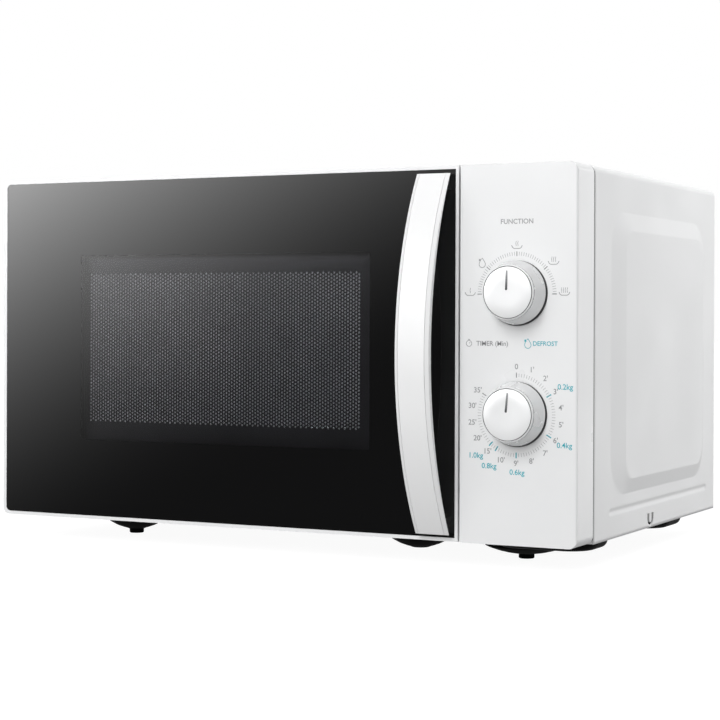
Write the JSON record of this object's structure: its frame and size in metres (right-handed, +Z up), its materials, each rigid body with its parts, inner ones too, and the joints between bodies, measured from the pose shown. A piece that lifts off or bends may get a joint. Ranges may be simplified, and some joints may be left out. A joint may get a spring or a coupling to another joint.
{
  "type": "microwave oven",
  "caption": "Countertop microwave oven with a black glass side-hinged door, bowed white handle, two turning dials and a rotating glass tray.",
  "frame": {"origin": "middle of the oven's footprint, on the worktop", "axes": "+X to the right when facing the door, +Y to the back, +Z up"},
  "size_m": [0.444, 0.3392, 0.258],
  "materials": {
    "white_enamel": "satin",
    "grey_enamel": "satin",
    "black_steel": "satin",
    "zinc_steel": "satin",
    "dark_steel": "satin",
    "aluminium": "satin",
    "copper": "satin",
    "bright_steel": "polished",
    "white_plastic": "glossy",
    "silver_plastic": "glossy",
    "black_plastic": "matte",
    "natural_plastic": "matte",
    "green_board": "satin",
    "mica": "satin",
    "rubber": "matte",
    "black_glass": "glossy",
    "clear_glass": "glossy",
    "clear_film": "glossy"
  },
  "bodies": {
    "cabinet": {"casing": "white_enamel", "rear_screws": "bright_steel", "rear_panel": "zinc_steel", "cord_gland": "black_plastic", "front_frame": "white_enamel", "oven_cavity": "grey_enamel", "wave_cover": "mica", "waveguide": "zinc_steel", "magnetron_frame": "zinc_steel", "magnetron_tube": "copper", "magnetron_fins": "aluminium", "magnetron_filter": "zinc_steel", "thermal_cutout": "bright_steel", "transformer_core": "dark_steel", "transformer_winding": "copper", "capacitor": "aluminium", "capacitor_clamp": "zinc_steel", "high_voltage_diode": "black_plastic", "fan_shroud": "natural_plastic", "fan_motor": "dark_steel", "lamp_holder": "natural_plastic", "lamp_bulb": "clear_glass", "filter_board": "green_board", "line_fuse": "clear_glass", "turntable_motor": "zinc_steel", "base_plate": "black_steel", "feet": "rubber", "control_panel": "white_plastic", "function_switch": "black_plastic", "timer_body": "black_plastic", "timer_bell": "bright_steel", "hinge_bottom": "zinc_steel", "hinge_top": "zinc_steel", "latch_housing": "black_plastic", "lower_switch": "black_plastic", "upper_switch": "black_plastic", "monitor_switch": "black_plastic"},
    "door": {"door_frame": "white_plastic", "door_glass": "black_glass", "door_screen": "black_steel", "inner_window": "clear_film", "door_choke": "black_plastic", "handle": "white_plastic", "handle_screws": "bright_steel", "latch_spring": "bright_steel"},
    "latch": {"latch_bar": "natural_plastic"},
    "function_dial": {"function_knob": "silver_plastic", "function_shaft": "bright_steel"},
    "timer_dial": {"timer_knob": "silver_plastic", "timer_shaft": "bright_steel"},
    "turntable": {"turntable_drive": "natural_plastic"},
    "tray": {"glass_tray": "clear_glass"},
    "ring": {"roller_ring": "natural_plastic"},
    "wheel_1": {"roller_1": "natural_plastic"},
    "wheel_2": {"roller_2": "natural_plastic"},
    "wheel_3": {"roller_3": "natural_plastic"},
    "fan": {"fan_blade": "natural_plastic"},
    "lower_button": {"lower_plunger": "natural_plastic"},
    "upper_button": {"upper_plunger": "natural_plastic"},
    "monitor_button": {"monitor_plunger": "natural_plastic"}
  },
  "joints": [
    {"name": "door_hinge", "type": "hinge", "parent": "cabinet", "child": "door", "pos_m": [-0.2125, -0.1141, 0.1375], "axis": [0, 0, -1], "range_deg": [0, 110]},
    {"name": "latch_slide", "type": "slide", "parent": "door", "child": "latch", "axis": [0, 0, 1], "range_m": [0, 0.004], "stiffness_N_per_m": 300, "springref_m": -0.004, "deforming": ["latch_spring"]},
    {"name": "function_turn", "type": "hinge", "parent": "cabinet", "child": "function_dial", "pos_m": [0.1796, -0.1316, 0.1766], "axis": [0, 1, 0], "range_deg": [-92, 88]},
    {"name": "timer_turn", "type": "hinge", "parent": "cabinet", "child": "timer_dial", "pos_m": [0.1796, -0.1316, 0.1005], "axis": [0, 1, 0], "range_deg": [-5, 295]},
    {"name": "turntable_spin", "type": "hinge", "parent": "cabinet", "child": "turntable", "pos_m": [-0.0405, 0.0304, 0.0475], "axis": [0, 0, 1], "continuous": true},
    {"name": "tray_lift", "type": "slide", "parent": "turntable", "child": "tray", "axis": [0, 0, 1], "range_m": [0, 0.12]},
    {"name": "ring_spin", "type": "hinge", "parent": "cabinet", "child": "ring", "pos_m": [-0.0405, 0.0304, 0.0513], "axis": [0, 0, 1], "continuous": true},
    {"name": "wheel_1_spin", "type": "hinge", "parent": "ring", "child": "wheel_1", "pos_m": [-0.0405, 0.1259, 0.0513], "axis": [0, 1, 0], "continuous": true},
    {"name": "wheel_2_spin", "type": "hinge", "parent": "ring", "child": "wheel_2", "pos_m": [-0.1232, -0.01735, 0.0513], "axis": [-0.866, -0.5, 0], "continuous": true},
    {"name": "wheel_3_spin", "type": "hinge", "parent": "ring", "child": "wheel_3", "pos_m": [0.0422, -0.01735, 0.0513], "axis": [0.866, -0.5, 0], "continuous": true},
    {"name": "fan_spin", "type": "hinge", "parent": "cabinet", "child": "fan", "pos_m": [0.169, 0.1304, 0.1845], "axis": [0, 1, 0], "continuous": true},
    {"name": "lower_press", "type": "slide", "parent": "cabinet", "child": "lower_button", "axis": [1, 0, 0], "range_m": [0, 0.0008], "stiffness_N_per_m": 100, "springref_m": -0.001},
    {"name": "upper_press", "type": "slide", "parent": "cabinet", "child": "upper_button", "axis": [1, 0, 0], "range_m": [0, 0.0008], "stiffness_N_per_m": 100, "springref_m": -0.001},
    {"name": "monitor_press", "type": "slide", "parent": "cabinet", "child": "monitor_button", "axis": [0, 1, 0], "range_m": [0, 0.0008], "stiffness_N_per_m": 100, "springref_m": -0.001}
  ],
  "couplings": [
    {"joint": "ring_spin", "follows": "turntable_spin", "ratio": 0.5},
    {"joint": "wheel_1_spin", "follows": "turntable_spin", "ratio": -6.3667},
    {"joint": "wheel_2_spin", "follows": "turntable_spin", "ratio": -6.3667},
    {"joint": "wheel_3_spin", "follows": "turntable_spin", "ratio": -6.3667}
  ]
}
